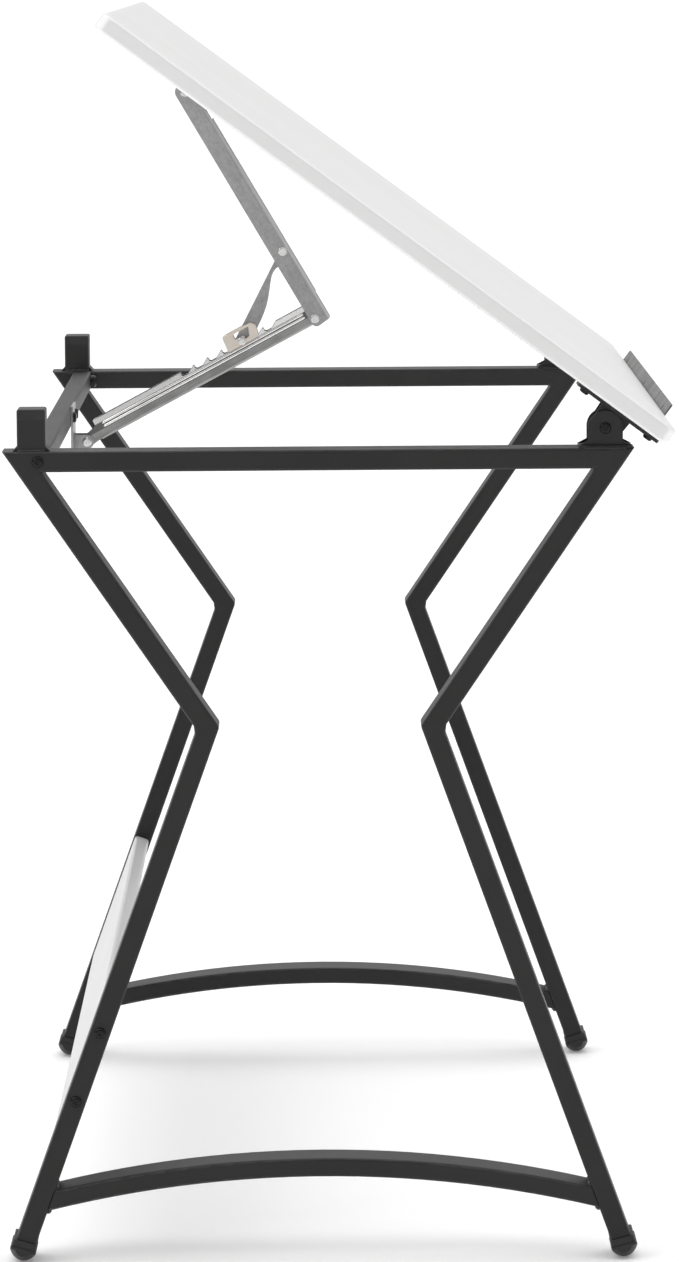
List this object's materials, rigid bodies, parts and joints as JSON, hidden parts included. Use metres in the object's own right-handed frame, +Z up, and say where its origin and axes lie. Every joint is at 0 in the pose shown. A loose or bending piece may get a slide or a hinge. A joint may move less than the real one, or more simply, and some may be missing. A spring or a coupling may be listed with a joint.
{
  "type": "drafting table",
  "caption": "Drafting table with a tilting white top on black hourglass side frames, a ratchet lift arm under the top and a sliding pencil ledge.",
  "frame": {"origin": "on the floor, in the middle of the footprint of the four feet", "axes": "+X across the width to the user's right, -Y towards the user, +Z up; the top's low edge and its ledge are at -Y"},
  "size_m": [1.067, 0.5958, 1.0988],
  "materials": {
    "black_steel": "semi-matte black powder coat",
    "zinc_steel": "dull zinc plate",
    "bright_zinc": "bright zinc plate",
    "yellow_zinc": "warm-toned zinc plate",
    "ledge_steel": "dark brushed finish",
    "white_laminate": "white laminate over board, smooth",
    "black_plastic": "moulded, fine satin",
    "black_fastener": "black oxide",
    "plated_fastener": "plated"
  },
  "bodies": {
    "frame": {"back_board": "white_laminate", "left_arch_bar": "black_steel", "left_board_bolts": "black_fastener", "left_board_inserts": "plated_fastener", "left_crossbar_bolt": "black_fastener", "left_crossbar_lock_bolt": "black_fastener", "left_crossbar_plug": "black_fastener", "left_front_foot_cap": "black_plastic", "left_front_lower_leg": "black_steel", "left_front_upper_leg": "black_steel", "left_hinge_base_bracket": "black_steel", "left_hinge_bolt": "black_fastener", "left_hinge_nut": "black_fastener", "left_rail": "black_steel", "left_rear_foot_cap": "black_plastic", "left_rear_lower_leg": "black_steel", "left_rear_upper_leg": "black_steel", "left_rest_post": "black_steel", "left_rest_post_cap": "black_plastic", "lifter_base_bolts": "black_fastener", "lifter_base_bracket": "zinc_steel", "lifter_base_rivet": "plated_fastener", "rear_crossbar": "black_steel", "right_arch_bar": "black_steel", "right_board_bolts": "black_fastener", "right_board_inserts": "plated_fastener", "right_crossbar_bolt": "black_fastener", "right_crossbar_lock_bolt": "black_fastener", "right_crossbar_plug": "black_fastener", "right_front_foot_cap": "black_plastic", "right_front_lower_leg": "black_steel", "right_front_upper_leg": "black_steel", "right_hinge_base_bracket": "black_steel", "right_hinge_bolt": "black_fastener", "right_hinge_nut": "black_fastener", "right_rail": "black_steel", "right_rear_foot_cap": "black_plastic", "right_rear_lower_leg": "black_steel", "right_rear_upper_leg": "black_steel", "right_rest_post": "black_steel", "right_rest_post_cap": "black_plastic"},
    "tabletop": {"tabletop": "white_laminate", "left_hinge_top_bracket": "black_steel", "right_hinge_top_bracket": "black_steel", "left_hinge_screws": "black_fastener", "right_hinge_screws": "black_fastener", "lifter_top_bracket": "zinc_steel", "lifter_top_screws": "black_fastener", "lifter_top_rivet": "plated_fastener", "ledge_screws": "black_fastener"},
    "ledge": {"pencil_ledge": "ledge_steel"},
    "lift_arm": {"lift_arm": "zinc_steel", "elbow_rivets": "plated_fastener", "strut_rivets": "plated_fastener"},
    "channel": {"ratchet_channel": "bright_zinc", "elbow_spacer": "plated_fastener"},
    "latch": {"latch_plate": "yellow_zinc", "ratchet_pin": "plated_fastener"},
    "strut": {"strut": "zinc_steel"}
  },
  "joints": [
    {"name": "top_tilt", "type": "hinge", "parent": "frame", "child": "tabletop", "pos_m": [0, -0.25, 0.737], "axis": [1, 0, 0], "range_deg": [-36.5, 4.4]},
    {"name": "ledge_slide", "type": "slide", "parent": "tabletop", "child": "ledge", "axis": [0, -0.5948, 0.8039], "range_m": [-0.0105, 0]},
    {"name": "arm_fold", "type": "hinge", "parent": "tabletop", "child": "lift_arm", "pos_m": [0, 0.12412, 1.01819], "axis": [1, 0, 0], "range_deg": [-15.3, 1.9]},
    {"name": "channel_swing", "type": "hinge", "parent": "frame", "child": "channel", "pos_m": [0, 0.2204, 0.687], "axis": [1, 0, 0], "range_deg": [-3, 24.5]},
    {"name": "latch_slide", "type": "slide", "parent": "channel", "child": "latch", "axis": [0, 0.8824, -0.4706], "range_m": [-0.0137, 0.1124]},
    {"name": "strut_swing", "type": "hinge", "parent": "latch", "child": "strut", "pos_m": [0, 0.07227, 0.78198], "axis": [1, 0, 0], "range_deg": [-3.1, 25.5]}
  ],
  "couplings": [
    {"joint": "arm_fold", "follows": "top_tilt", "ratio": 0.41639},
    {"joint": "channel_swing", "follows": "top_tilt", "ratio": -0.66896},
    {"joint": "latch_slide", "follows": "top_tilt", "m_per_rad": -0.17617},
    {"joint": "strut_swing", "follows": "top_tilt", "ratio": -0.6957}
  ]
}
